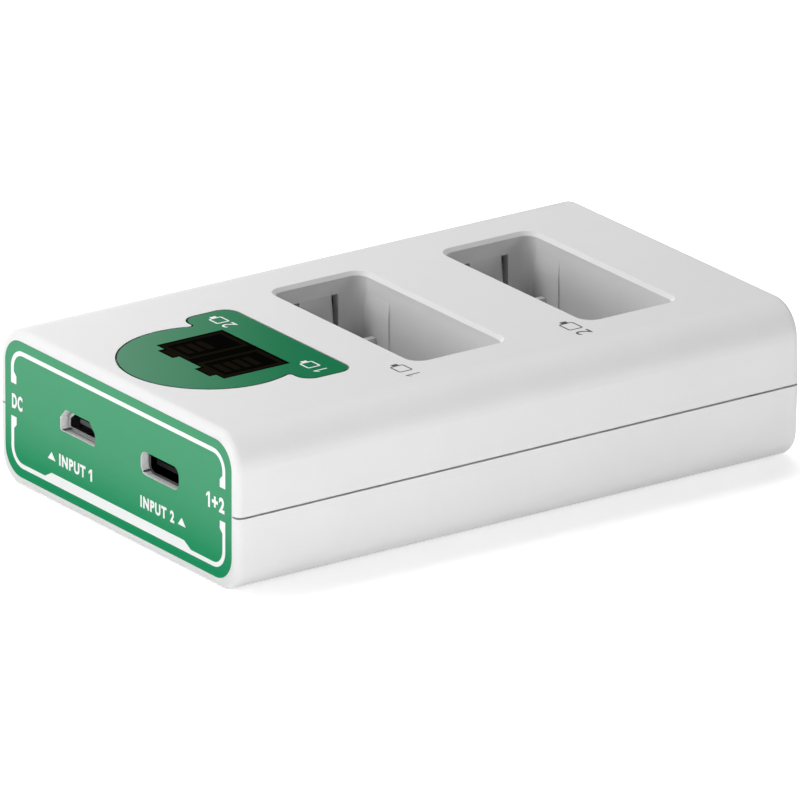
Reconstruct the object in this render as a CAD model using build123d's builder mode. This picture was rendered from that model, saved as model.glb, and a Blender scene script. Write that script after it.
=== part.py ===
from build123d import *
import os
from math import radians, tan

# Two-bay camera battery charger: a white two-part case with two open battery bays,
# a display under a green bezel and two charging ports in a green end plate.
# Millimetres, +Z up, the port end faces -Y, the origin is the middle of the base.

# Case
case_length = 100.0
case_width = 61.2
case_height = 24.2
parting_height = 11.9
parting_gap = 0.3
side_draft = 1.8
top_edge_radius = 5.5
base_edge_radius = 4.6
end_edge_radius = 1.1
wall = 1.8
front_wall = 1.75
lip_thickness = 0.8
lip_height = 1.5
lip_clearance = 0.1

# Port plate, inlaid flush in the -Y end
plate_width = 57.9
plate_height = 21.0
plate_centre_height = 12.05
plate_corner_radius = 4.0
plate_thickness = 0.25
plate_clearance = 0.05

# Battery bays
battery_width = 36.4
battery_thickness = 15.7
battery_clearance = 0.2
first_bay_setback = 47.65
last_bay_inset = 21.7
bay_floor_height = 5.6
bay_wall = 1.4
bay_corner_radius = 2.0
bay_rim_chamfer = 0.55

# Sprung finger in the -X wall of each bay, and the guide pad beside it
finger_width = 5.7
finger_slot = 1.3
finger_drop = 2.9
finger_length = 11.8
finger_thickness = 1.2
finger_lean = 1.6
finger_tip_radius = 0.5
pad_thickness = 0.2
pad_length = 7.5
pad_lead = 2.5

# Battery contacts
holder_width = 4.4
holder_depth = 2.2
holder_height = 6.9
holder_roof = 1.5
holder_rib_width = 1.0
holder_rib_rise = 2.5
holder_clearance = 0.1
blade_count = 3
blade_pitch = 1.3
blade_thickness = 0.5
blade_depth = 1.6
blade_proud = 0.6
blade_clearance = 0.1

# Display
bezel_radius = 13.25
bezel_setback = 2.75
bezel_thickness = 1.2
bezel_clearance = 0.3
label_bar_width = 31.5
label_bar_depth = 8.4
label_bar_offset = 10.3
label_bar_radius = 2.2
neck_radius = 0.8
screen_width = 17.3
screen_depth = 11.65
screen_offset = 2.575
nub_width = 3.9
nub_depth = 1.15
nub_spacing = 9.4
screen_clearance = 0.08
screen_recess = 0.05
screen_flange = 0.9
flange_clearance = 0.3
panel_width = 21.0
panel_depth = 19.0
panel_thickness = 1.6
panel_air = 0.2
frame_wall = 1.2
frame_back_step = 1.4
panel_pin_count = 8
panel_pin_pitch = 2.0
panel_pin_size = 0.5
lamp_width = 3.0
lamp_depth = 2.0
lamp_height = 1.2
lamp_spacing = 10.0

# Main board
board_width = 36.8
board_front_gap = 0.5
board_back_gap = 1.4
board_thickness = 1.2
board_drop = 0.25
board_rest_inset = 3.5
board_post_inset = 7.8
board_post_spacing = 31.0
board_post_size = 4.6

# Ports
oval_offset = 10.8
trapezoid_offset = 10.25
port_setback = 1.2
port_shell_wall = 0.3
insulator_depth = 2.0
insulator_clearance = 0.05
tongue_setback = 0.6
oval_width = 8.95
oval_height = 3.5
oval_length = 7.3
oval_corner_radius = 1.3
oval_side_clearance = 0.4
oval_height_clearance = 0.05
oval_tongue_width = 6.6
trapezoid_width = 7.6
trapezoid_height = 2.9
trapezoid_top_width = 4.7
trapezoid_side_height = 1.65
trapezoid_corner_radius = 0.4
trapezoid_length = 5.6
trapezoid_side_clearance = 0.7
trapezoid_height_clearance = 0.3
trapezoid_lift = 0.65
trapezoid_tongue_width = 3.8
tongue_thickness = 0.7
mouth_chamfer = 0.12
mouth_flare = 0.25
mouth_flare_length = 0.3
leg_width = 0.8
leg_depth = 1.0

# Board components
control_chip_size = 7.0
control_chip_height = 1.2
charge_chip_width = 5.0
charge_chip_depth = 4.0
charge_chip_height = 1.5
coil_size = 7.0
coil_height = 3.6
coil_corner_chamfer = 1.4
power_part_spacing = 18.0
power_row_pitch = 9.5
capacitor_radius = 2.5
capacitor_height = 6.0
capacitor_spacing = 30.0

# Contact board, which lies under the bays
contact_board_width = 10.0
contact_board_thickness = 1.2
contact_board_gap = 0.2
contact_board_front_overhang = 5.4
contact_board_back_overhang = 4.2
contact_peg_margin = 2.5
contact_peg_size = 1.6
contact_peg_clearance = 0.1
contact_peg_proud = 0.6
contact_seat_size = 4.4
rail_length = 8.0
rail_thickness = 1.2
link_pin_count = 4
link_pin_pitch = 2.0
link_pin_size = 0.6
link_pin_clearance = 0.05
link_body_width = 8.4
link_body_depth = 2.5
link_body_height = 2.5
link_setback = 3.2

# Screws
case_screw_spacing_x = 44.4
case_screw_end_inset = 6.0
case_post_size = 6.0
boss_joint_drop = 2.9
boss_joint_gap = 0.1
case_screw_head_radius = 2.0
case_screw_head_height = 1.5
case_screw_shank_radius = 1.1
case_screw_length = 9.0
case_screw_sink = 5.0
counterbore_radius = 2.3
board_screw_head_radius = 1.8
board_screw_head_height = 1.1
board_screw_shank_radius = 0.9
board_screw_length = 6.0
screw_clearance = 0.2
pilot_clearance = 0.05
pilot_spare = 0.4
drive_slot_width = 0.6
drive_slot_depth = 0.6

# Worked out from the sizes above
half_width = case_width / 2
half_length = case_length / 2
draft_slope = tan(radians(side_draft))
top_half_width = half_width - (case_height - parting_height) * draft_slope
base_half_width = half_width - parting_height * draft_slope
top_inside = case_height - wall
cavity_front = -half_length + plate_thickness + front_wall
cavity_back = half_length - wall
pocket_width = battery_width + 2 * battery_clearance
pocket_thickness = battery_thickness + 2 * battery_clearance
bay_ys = [-half_length + first_bay_setback, half_length - last_bay_inset]
bay_centres = [(0, y) for y in bay_ys]
bay_underside = bay_floor_height - bay_wall
pocket_half_depth = pocket_thickness / 2 + bay_wall
bays_front = bay_ys[0] - pocket_half_depth
bays_back = bay_ys[1] + pocket_half_depth
finger_top = case_height - finger_drop
finger_tip = finger_top - finger_length
bezel_y = -half_length + bezel_setback + bezel_radius
screen_y = bezel_y + screen_offset
bezel_base = case_height - bezel_thickness
panel_top = top_inside - panel_air
panel_base = panel_top - panel_thickness
board_front = cavity_front + board_front_gap
board_back = bays_front - board_back_gap
board_y = (board_front + board_back) / 2
board_top = parting_height - board_drop
board_base = board_top - board_thickness
board_rest = (0, board_front + board_rest_inset)
board_posts = [
    (-board_post_spacing / 2, board_back - board_post_inset),
    (board_post_spacing / 2, board_back - board_post_inset),
]
port_mouth = -half_length + port_setback
oval_x = oval_offset
trapezoid_x = -trapezoid_offset
oval_z = board_top + oval_height / 2
trapezoid_base = board_top + trapezoid_lift
contact_top = bay_underside - contact_board_gap
contact_base = contact_top - contact_board_thickness
contact_front = bays_front - contact_board_front_overhang
contact_back = bays_back + contact_board_back_overhang
holder_left = -pocket_width / 2 + holder_clearance
holder_x = holder_left + holder_width / 2
contact_x = holder_x + (contact_board_width - holder_width) / 2 - holder_clearance
contact_pegs = [
    (contact_x, (bay_ys[0] + bay_ys[1]) / 2),
    (contact_x, contact_back - contact_peg_margin),
]
link_y = bays_front - link_setback
case_screw_spacing_y = case_length - 2 * case_screw_end_inset
boss_joint_height = parting_height - boss_joint_drop
case_post_top = boss_joint_height - boss_joint_gap

os.makedirs("parts", exist_ok=True)


# Outer form of the closed case: a drafted section with rounded long edges, softened at both ends
with BuildSketch(Plane.XZ) as case_profile:
    with BuildLine():
        Polyline(
            (-base_half_width, 0),
            (base_half_width, 0),
            (half_width, parting_height),
            (top_half_width, case_height),
            (-top_half_width, case_height),
            (-half_width, parting_height),
            close=True,
        )
    make_face()
    fillet(case_profile.vertices().group_by(Axis.Y)[-1], top_edge_radius)
    fillet(case_profile.vertices().group_by(Axis.Y)[0], base_edge_radius)

with BuildPart() as case_form:
    extrude(case_profile.sketch, amount=half_length, both=True)
    fillet(case_form.faces().filter_by(Axis.Y).edges(), end_edge_radius)

# Hollow of the closed case
with BuildSketch(Plane.XZ.offset(-cavity_front)) as cavity_profile:
    offset(case_profile.sketch_local, amount=-wall)

with BuildPart() as cavity_form:
    extrude(cavity_profile.sketch, amount=cavity_front - cavity_back)


# Band along the two sides and the back, between two insets from the case's outside
def parting_band(outer_inset, inner_inset):
    front = cavity_front + lip_clearance
    with BuildSketch() as band:
        with Locations((0, front)):
            Rectangle(
                case_width - 2 * outer_inset,
                half_length - outer_inset - front,
                align=(Align.CENTER, Align.MIN),
            )
            Rectangle(
                case_width - 2 * inner_inset,
                half_length - inner_inset - front,
                align=(Align.CENTER, Align.MIN),
                mode=Mode.SUBTRACT,
            )
    return band.sketch


lip_band = parting_band(wall - lip_thickness, wall)
rebate_band = parting_band(wall - lip_thickness - lip_clearance, wall + lip_thickness)


# Outline of the recess for the port plate, or of the plate itself
def plate_outline(clearance):
    with BuildSketch(Plane.XZ.offset(half_length)) as outline:
        with Locations((0, plate_centre_height)):
            RectangleRounded(
                plate_width + 2 * clearance,
                plate_height + 2 * clearance,
                plate_corner_radius + clearance,
            )
    return outline.sketch


# Trapezoid port section, wide at its base, grown by a side and a height clearance
def trapezoid_section(side, height):
    half_base = trapezoid_width / 2 + side
    half_top = trapezoid_top_width / 2 + side
    top = trapezoid_height + height
    with BuildSketch() as section:
        with Locations((trapezoid_x, trapezoid_base)):
            Polygon(
                (-half_base, -height),
                (half_base, -height),
                (half_base, trapezoid_side_height),
                (half_top, top),
                (-half_top, top),
                (-half_base, trapezoid_side_height),
                align=None,
            )
    return section.sketch


# Oval port section, grown by a side and a height clearance
def oval_section(side, height):
    with BuildSketch() as section:
        with Locations((oval_x, oval_z)):
            RectangleRounded(oval_width + 2 * side, oval_height + 2 * height, oval_corner_radius + height)
    return section.sketch


# The two openings for the plugs, drawn on the end face
with BuildSketch(Plane.XZ.offset(half_length)) as port_holes:
    add(trapezoid_section(trapezoid_side_clearance, trapezoid_height_clearance))
    fillet(port_holes.vertices(), trapezoid_corner_radius)
    add(oval_section(oval_side_clearance, oval_height_clearance))

# Bezel outline: a disc with a straight label strip across its inner side
with BuildSketch() as bezel_outline:
    with Locations((0, bezel_y)):
        Circle(bezel_radius)
    with Locations((0, bezel_y + label_bar_offset)):
        RectangleRounded(label_bar_width, label_bar_depth, label_bar_radius)
    neck_y = bezel_y + label_bar_offset - label_bar_depth / 2
    necks = bezel_outline.vertices().sort_by(lambda v: abs(v.Y - neck_y) + abs(v.X) / case_width)
    fillet(necks[:2], neck_radius)

# Screen outline: two battery shapes side by side with their nubs towards -Y
with BuildSketch() as screen_outline:
    with Locations((0, screen_y)):
        Rectangle(screen_width, screen_depth)
    with Locations((0, screen_y - screen_depth / 2)):
        with GridLocations(nub_spacing, 0, 2, 1):
            Rectangle(nub_width, 2 * nub_depth)


# Outline of the screen's flange, or of the opening that it stands in
def flange_outline(clearance):
    margin = screen_flange + clearance
    with BuildSketch() as outline:
        with Locations((0, screen_y + screen_depth / 2 + margin)):
            Rectangle(
                screen_width + 2 * margin,
                screen_depth + nub_depth + 2 * margin,
                align=(Align.CENTER, Align.MAX),
            )
    return outline.sketch


# Top shell: upper half of the case with both bay pockets, the sprung fingers and the screw bosses
with BuildPart() as top_shell:
    add(case_form.part)
    split(bisect_by=Plane.XY.offset(parting_height + parting_gap / 2), keep=Keep.TOP)
    add(cavity_form.part, mode=Mode.SUBTRACT)
    with BuildSketch(Plane.XY.offset(bay_underside)):
        with Locations(*bay_centres):
            RectangleRounded(
                pocket_width + 2 * bay_wall,
                pocket_thickness + 2 * bay_wall,
                bay_corner_radius + bay_wall,
            )
    extrude(amount=top_inside + wall / 2 - bay_underside)
    with BuildSketch(Plane.XY.offset(boss_joint_height)):
        with GridLocations(case_screw_spacing_x, case_screw_spacing_y, 2, 2):
            Rectangle(case_post_size, case_post_size)
    extrude(amount=top_inside + wall / 2 - boss_joint_height)
    add(case_form.part, mode=Mode.INTERSECT)
    with BuildSketch(Plane.XY.offset(bay_floor_height)):
        with Locations(*bay_centres):
            RectangleRounded(pocket_width, pocket_thickness, bay_corner_radius)
    extrude(amount=case_height - bay_floor_height, mode=Mode.SUBTRACT)
    chamfer(top_shell.faces().sort_by(Axis.Z)[-1].inner_wires().edges(), bay_rim_chamfer)
    extrude(
        rebate_band.moved(Location((0, 0, parting_height))),
        amount=lip_height + lip_clearance,
        mode=Mode.SUBTRACT,
    )
    with BuildSketch(Plane.XY.offset(bezel_base)):
        offset(bezel_outline.sketch, amount=bezel_clearance)
    extrude(amount=bezel_thickness, mode=Mode.SUBTRACT)
    extrude(
        flange_outline(flange_clearance).moved(Location((0, 0, top_inside))),
        amount=wall,
        mode=Mode.SUBTRACT,
    )
    extrude(plate_outline(plate_clearance), amount=-plate_thickness, mode=Mode.SUBTRACT)
    extrude(port_holes.sketch, amount=-plate_thickness - front_wall, mode=Mode.SUBTRACT)
    with BuildSketch(Plane.XY.offset(boss_joint_height)):
        with GridLocations(case_screw_spacing_x, case_screw_spacing_y, 2, 2):
            Circle(case_screw_shank_radius + pilot_clearance)
    extrude(
        amount=case_screw_sink + case_screw_length + pilot_spare - boss_joint_height,
        mode=Mode.SUBTRACT,
    )
    for bay_y in bay_ys:
        with Locations((-pocket_width / 2, bay_y, finger_top)):
            Box(
                bay_wall,
                finger_width + 2 * finger_slot,
                finger_length + finger_slot,
                align=(Align.MAX, Align.CENTER, Align.MAX),
                mode=Mode.SUBTRACT,
            )
        with BuildSketch(Plane.XZ.offset(-bay_y)) as finger_profile:
            with BuildLine():
                Polyline(
                    (-pocket_width / 2, finger_top + finger_thickness),
                    (-pocket_width / 2, finger_top),
                    (-pocket_width / 2 + finger_lean, finger_tip),
                    (-pocket_width / 2 + finger_lean - finger_thickness, finger_tip),
                    (-pocket_width / 2 - finger_thickness, finger_top),
                    (-pocket_width / 2 - finger_thickness, finger_top + finger_thickness),
                    close=True,
                )
            make_face()
            fillet(finger_profile.vertices().group_by(Axis.Y)[0], finger_tip_radius)
        extrude(amount=finger_width / 2, both=True)
        pad_back = bay_y + pocket_thickness / 2
        with BuildSketch(Plane.YZ.offset(-pocket_width / 2)):
            Polygon(
                (pad_back, bay_floor_height),
                (pad_back, finger_top),
                (pad_back - pad_thickness, finger_top - pad_lead),
                (pad_back - pad_thickness, bay_floor_height),
                align=None,
            )
        extrude(amount=pad_length)
        blade_row = blade_pitch * (blade_count - 1) + blade_thickness + 2 * blade_clearance
        blade_back = pad_back - pad_thickness - holder_depth + blade_depth - blade_proud
        with Locations((holder_x, blade_back + blade_clearance, bay_floor_height)):
            Box(
                blade_row,
                blade_depth + 2 * blade_clearance,
                bay_wall,
                align=(Align.CENTER, Align.MAX, Align.MAX),
                mode=Mode.SUBTRACT,
            )
top_shell.part.label = "top_shell"
export_step(top_shell.part, "parts/top_shell.step")

# Bottom shell: lower half of the case with its locating lip, posts and counterbored screw holes
with BuildPart() as bottom_shell:
    add(case_form.part)
    split(bisect_by=Plane.XY.offset(parting_height - parting_gap / 2), keep=Keep.BOTTOM)
    add(cavity_form.part, mode=Mode.SUBTRACT)
    extrude(
        lip_band.moved(Location((0, 0, parting_height - wall))),
        amount=wall + lip_height,
    )
    with BuildSketch(Plane.XY.offset(wall / 2)):
        with GridLocations(case_screw_spacing_x, case_screw_spacing_y, 2, 2):
            Rectangle(case_post_size, case_post_size)
    extrude(amount=case_post_top - wall / 2)
    with BuildSketch(Plane.XY.offset(wall / 2)):
        with Locations(board_rest, *board_posts):
            Rectangle(board_post_size, board_post_size)
    extrude(amount=board_base - wall / 2)
    with BuildSketch(Plane.XY.offset(wall / 2)):
        with Locations(*contact_pegs):
            Rectangle(contact_seat_size, contact_seat_size)
        with Locations(*[(contact_x, y) for y in bay_ys]):
            Rectangle(rail_length, rail_thickness)
    extrude(amount=contact_base - wall / 2)
    with BuildSketch(Plane.XY.offset(contact_base)):
        with Locations(*contact_pegs):
            Rectangle(contact_peg_size, contact_peg_size)
    extrude(amount=contact_board_thickness + contact_peg_proud)
    add(case_form.part, mode=Mode.INTERSECT)
    extrude(plate_outline(plate_clearance), amount=-plate_thickness, mode=Mode.SUBTRACT)
    extrude(port_holes.sketch, amount=-plate_thickness - front_wall, mode=Mode.SUBTRACT)
    with Locations(Plane.XY.rotated((180, 0, 0))):
        with GridLocations(case_screw_spacing_x, case_screw_spacing_y, 2, 2):
            CounterBoreHole(
                case_screw_shank_radius + screw_clearance,
                counterbore_radius,
                case_screw_sink,
                case_post_top,
            )
    with Locations(*[(x, y, board_base) for x, y in board_posts]):
        Hole(
            board_screw_shank_radius + pilot_clearance,
            board_screw_length - board_thickness + pilot_spare,
        )
bottom_shell.part.label = "bottom_shell"
export_step(bottom_shell.part, "parts/bottom_shell.step")

# Port plate: thin moulded plate with the two plug openings
with BuildPart() as port_plate:
    extrude(plate_outline(0), amount=-plate_thickness)
    extrude(port_holes.sketch, amount=-plate_thickness, mode=Mode.SUBTRACT)
port_plate.part.label = "port_plate"
export_step(port_plate.part, "parts/port_plate.step")

# Display bezel: flush plate with the screen's cut-out, resting on the ledge in the top
with BuildPart() as display_bezel:
    with BuildSketch(Plane.XY.offset(bezel_base)):
        add(bezel_outline.sketch)
        add(screen_outline.sketch, mode=Mode.SUBTRACT)
    extrude(amount=bezel_thickness)
display_bezel.part.label = "display_bezel"
export_step(display_bezel.part, "parts/display_bezel.step")

# Display screen: smoked window with a flange that bears on the underside of the bezel
with BuildPart() as display_screen:
    with BuildSketch(Plane.XY.offset(bezel_base)):
        offset(screen_outline.sketch, amount=-screen_clearance)
    extrude(amount=bezel_thickness - screen_recess)
    extrude(
        flange_outline(0).moved(Location((0, 0, top_inside))),
        amount=bezel_base - top_inside,
    )
display_screen.part.label = "display_screen"
export_step(display_screen.part, "parts/display_screen.step")

# Display panel: glass sandwich under the window
panel_y = screen_y
with BuildPart() as display_panel:
    with Locations((0, panel_y, panel_base)):
        Box(panel_width, panel_depth, panel_thickness, align=(Align.CENTER, Align.CENTER, Align.MIN))
display_panel.part.label = "display_panel"
export_step(display_panel.part, "parts/display_panel.step")

# Panel frame: light box that stands on the main board and carries the panel
frame_depth = panel_depth - frame_back_step
frame_y = panel_y - frame_back_step / 2
with BuildPart() as panel_frame:
    with BuildSketch(Plane.XY.offset(board_top)):
        with Locations((0, frame_y)):
            Rectangle(panel_width, frame_depth)
            Rectangle(panel_width - 2 * frame_wall, frame_depth - 2 * frame_wall, mode=Mode.SUBTRACT)
    extrude(amount=panel_base - board_top)
panel_frame.part.label = "panel_frame"
export_step(panel_frame.part, "parts/panel_frame.step")

# Panel pins: leads from the panel's overhanging edge down to the board
with BuildPart() as panel_pins:
    with BuildSketch(Plane.XY.offset(board_top)):
        with Locations((0, panel_y + panel_depth / 2 - frame_back_step / 2)):
            with GridLocations(panel_pin_pitch, 0, panel_pin_count, 1):
                Rectangle(panel_pin_size, panel_pin_size)
    extrude(amount=panel_base - board_top)
panel_pins.part.label = "panel_pins"
export_step(panel_pins.part, "parts/panel_pins.step")

# Backlight lamps inside the light box
with BuildPart() as backlight_lamps:
    with BuildSketch(Plane.XY.offset(board_top)):
        with Locations((0, frame_y)):
            with GridLocations(lamp_spacing, 0, 2, 1):
                Rectangle(lamp_width, lamp_depth)
    extrude(amount=lamp_height)
backlight_lamps.part.label = "backlight_lamps"
export_step(backlight_lamps.part, "parts/backlight_lamps.step")

# Main board: circuit board screwed to two posts, with a rest behind the ports
with BuildPart() as main_board:
    with BuildSketch(Plane.XY.offset(board_base)):
        with Locations((0, board_y)):
            Rectangle(board_width, board_back - board_front)
        with Locations(*board_posts):
            Circle(board_screw_shank_radius + screw_clearance, mode=Mode.SUBTRACT)
    extrude(amount=board_thickness)
main_board.part.label = "main_board"
export_step(main_board.part, "parts/main_board.step")

# Oval port: drawn steel tube soldered to the board
mouth_plane = Plane.XZ.offset(-port_mouth)
with BuildPart() as oval_port_shell:
    with BuildSketch(mouth_plane):
        add(oval_section(0, 0))
        offset(oval_section(0, 0), amount=-port_shell_wall, mode=Mode.SUBTRACT)
    extrude(amount=-oval_length)
    chamfer(oval_port_shell.faces().sort_by(Axis.Y)[0].inner_wires().edges(), mouth_chamfer)
oval_port_shell.part.label = "oval_port_shell"
export_step(oval_port_shell.part, "parts/oval_port_shell.step")

# Oval port insulator: rear block with the contact tongue at mid height
with BuildPart() as oval_port_tongue:
    with BuildSketch(Plane.XZ.offset(-port_mouth - oval_length + insulator_depth)):
        offset(oval_section(0, 0), amount=-port_shell_wall - insulator_clearance)
    extrude(amount=-insulator_depth)
    with BuildSketch(Plane.XZ.offset(-port_mouth - tongue_setback)):
        with Locations((oval_x, oval_z)):
            Rectangle(oval_tongue_width, tongue_thickness)
    extrude(amount=tongue_setback + insulator_depth - oval_length)
oval_port_tongue.part.label = "oval_port_tongue"
export_step(oval_port_tongue.part, "parts/oval_port_tongue.step")

# Trapezoid port: folded steel shell with a flared mouth, on four legs
with BuildPart() as trapezoid_port_shell:
    with BuildSketch(mouth_plane):
        add(trapezoid_section(0, 0))
    extrude(amount=-trapezoid_length)
    with BuildSketch(mouth_plane):
        add(trapezoid_section(mouth_flare, mouth_flare))
    extrude(amount=-mouth_flare_length)
    leg_front = board_front + leg_depth / 2
    leg_back = port_mouth + trapezoid_length - leg_depth / 2
    with Locations((trapezoid_x, (leg_front + leg_back) / 2, board_top)):
        with GridLocations(trapezoid_width - leg_width, leg_back - leg_front, 2, 2):
            Box(
                leg_width,
                leg_depth,
                trapezoid_lift + port_shell_wall,
                align=(Align.CENTER, Align.CENTER, Align.MIN),
            )
    with BuildSketch(mouth_plane):
        offset(trapezoid_section(0, 0), amount=-port_shell_wall)
    extrude(amount=-trapezoid_length, mode=Mode.SUBTRACT)
trapezoid_port_shell.part.label = "trapezoid_port_shell"
export_step(trapezoid_port_shell.part, "parts/trapezoid_port_shell.step")

# Trapezoid port insulator: rear block with a narrow tongue
with BuildPart() as trapezoid_port_tongue:
    with BuildSketch(Plane.XZ.offset(-port_mouth - trapezoid_length + insulator_depth)):
        offset(trapezoid_section(0, 0), amount=-port_shell_wall - insulator_clearance)
    extrude(amount=-insulator_depth)
    with BuildSketch(Plane.XZ.offset(-port_mouth - tongue_setback)):
        with Locations((trapezoid_x, trapezoid_base + trapezoid_height / 2)):
            Rectangle(trapezoid_tongue_width, tongue_thickness)
    extrude(amount=tongue_setback + insulator_depth - trapezoid_length)
trapezoid_port_tongue.part.label = "trapezoid_port_tongue"
export_step(trapezoid_port_tongue.part, "parts/trapezoid_port_tongue.step")

# Control chip, soldered under the board behind the power parts
power_front_y = board_front + power_row_pitch
power_back_y = power_front_y + power_row_pitch
with BuildPart() as control_chip:
    with BuildSketch(Plane.XY.offset(board_base)):
        with Locations((0, board_back - control_chip_size)):
            Rectangle(control_chip_size, control_chip_size)
    extrude(amount=-control_chip_height)
control_chip.part.label = "control_chip"
export_step(control_chip.part, "parts/control_chip.step")

# Charge chips, one for each bay
with BuildPart() as charge_chips:
    with BuildSketch(Plane.XY.offset(board_base)):
        with Locations((0, power_back_y)):
            with GridLocations(power_part_spacing, 0, 2, 1):
                Rectangle(charge_chip_width, charge_chip_depth)
    extrude(amount=-charge_chip_height)
charge_chips.part.label = "charge_chips"
export_step(charge_chips.part, "parts/charge_chips.step")

# Power coils, one for each bay
with BuildPart() as power_coils:
    with BuildSketch(Plane.XY.offset(board_base)) as coil_plan:
        with Locations((0, power_front_y)):
            with GridLocations(power_part_spacing, 0, 2, 1):
                Rectangle(coil_size, coil_size)
        chamfer(coil_plan.vertices(), coil_corner_chamfer)
    extrude(amount=-coil_height)
power_coils.part.label = "power_coils"
export_step(power_coils.part, "parts/power_coils.step")

# Capacitors, standing on the board beside the light box
with BuildPart() as board_capacitors:
    with BuildSketch(Plane.XY.offset(board_top)):
        with Locations((0, frame_y)):
            with GridLocations(capacitor_spacing, 0, 2, 1):
                Circle(capacitor_radius)
    extrude(amount=capacitor_height)
board_capacitors.part.label = "board_capacitors"
export_step(board_capacitors.part, "parts/board_capacitors.step")

# Contact board: strip on two pegs under both bays, which carries the contact blades
with BuildPart() as contact_board:
    with BuildSketch(Plane.XY.offset(contact_base)):
        with Locations((contact_x, (contact_front + contact_back) / 2)):
            Rectangle(contact_board_width, contact_back - contact_front)
        with Locations(*contact_pegs):
            Rectangle(
                contact_peg_size + 2 * contact_peg_clearance,
                contact_peg_size + 2 * contact_peg_clearance,
                mode=Mode.SUBTRACT,
            )
    extrude(amount=contact_board_thickness)
contact_board.part.label = "contact_board"
export_step(contact_board.part, "parts/contact_board.step")

# Link header: insulator around the pins that join the two boards
with BuildPart() as link_header:
    with BuildSketch(Plane.XY.offset(contact_top)):
        with Locations((contact_x, link_y)):
            Rectangle(link_body_width, link_body_depth)
            with GridLocations(link_pin_pitch, 0, link_pin_count, 1):
                Rectangle(
                    link_pin_size + 2 * link_pin_clearance,
                    link_pin_size + 2 * link_pin_clearance,
                    mode=Mode.SUBTRACT,
                )
    extrude(amount=link_body_height)
link_header.part.label = "link_header"
export_step(link_header.part, "parts/link_header.step")

# Link pins between the two boards
with BuildPart() as link_pins:
    with BuildSketch(Plane.XY.offset(contact_top)):
        with Locations((contact_x, link_y)):
            with GridLocations(link_pin_pitch, 0, link_pin_count, 1):
                Rectangle(link_pin_size, link_pin_size)
    extrude(amount=board_base - contact_top)
link_pins.part.label = "link_pins"
export_step(link_pins.part, "parts/link_pins.step")

# One contact holder and one set of blades for each bay
for number, bay_y in enumerate(bay_ys, start=1):
    holder_back = bay_y + pocket_thickness / 2 - pad_thickness - holder_clearance
    holder_front = holder_back - holder_depth + holder_clearance

    # Contact holder: moulded block in the bay's corner, slotted for the blades under a roof, with a key rib
    with BuildPart() as contact_holder:
        with BuildSketch(Plane.XY.offset(bay_floor_height)) as holder_plan:
            with Locations((holder_left, holder_back)):
                Rectangle(holder_width, holder_back - holder_front, align=(Align.MIN, Align.MAX))
            corner = holder_plan.vertices().group_by(Axis.Y)[-1].sort_by(Axis.X)[0]
            fillet(corner, bay_corner_radius)
        extrude(amount=holder_height)
        with BuildSketch(Plane.XY.offset(bay_floor_height)):
            with Locations((holder_x, holder_front)):
                with GridLocations(blade_pitch, 0, blade_count, 1):
                    Rectangle(
                        blade_thickness + 2 * blade_clearance,
                        blade_depth - blade_proud + blade_clearance,
                        align=(Align.CENTER, Align.MIN),
                    )
        extrude(amount=holder_height - holder_roof, mode=Mode.SUBTRACT)
        with Locations((holder_left + holder_width, holder_back, bay_floor_height + holder_height)):
            Box(
                holder_rib_width,
                holder_back - holder_front,
                holder_rib_rise,
                align=(Align.MAX, Align.MAX, Align.MIN),
            )
    contact_holder.part.label = f"contact_holder_{number}"
    export_step(contact_holder.part, f"parts/contact_holder_{number}.step")

    # Contact blades: sprung strips that stand on the contact board
    with BuildPart() as contact_blades:
        with BuildSketch(Plane.XY.offset(contact_top)):
            with Locations((holder_x, holder_front - blade_proud)):
                with GridLocations(blade_pitch, 0, blade_count, 1):
                    Rectangle(blade_thickness, blade_depth, align=(Align.CENTER, Align.MIN))
        extrude(amount=bay_floor_height + holder_height - holder_roof - blade_clearance - contact_top)
    contact_blades.part.label = f"contact_blades_{number}"
    export_step(contact_blades.part, f"parts/contact_blades_{number}.step")


# Pan-head screw with a crossed drive, seated at the origin with its shank along +Z
def pan_screw(head_radius, head_height, shank_radius, length):
    with BuildPart() as screw:
        Cylinder(head_radius, head_height, align=(Align.CENTER, Align.CENTER, Align.MAX))
        Cylinder(shank_radius, length, align=(Align.CENTER, Align.CENTER, Align.MIN))
        with Locations((0, 0, -head_height)):
            for turn in (0, 90):
                Box(
                    head_radius,
                    drive_slot_width,
                    drive_slot_depth,
                    rotation=(0, 0, turn),
                    align=(Align.CENTER, Align.CENTER, Align.MIN),
                    mode=Mode.SUBTRACT,
                )
    return screw.part


# Case screws, driven up through the bottom shell into the top shell's bosses
with BuildPart() as case_screws:
    with Locations((0, 0, case_screw_sink)):
        with GridLocations(case_screw_spacing_x, case_screw_spacing_y, 2, 2):
            add(
                pan_screw(
                    case_screw_head_radius,
                    case_screw_head_height,
                    case_screw_shank_radius,
                    case_screw_length,
                )
            )
case_screws.part.label = "case_screws"
export_step(case_screws.part, "parts/case_screws.step")

# Board screws, driven down through the main board into its posts
with BuildPart() as board_screws:
    with Locations(*[Location((x, y, board_top), (180, 0, 0)) for x, y in board_posts]):
        add(
            pan_screw(
                board_screw_head_radius,
                board_screw_head_height,
                board_screw_shank_radius,
                board_screw_length,
            )
        )
board_screws.part.label = "board_screws"
export_step(board_screws.part, "parts/board_screws.step")
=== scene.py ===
from math import pi, radians

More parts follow.
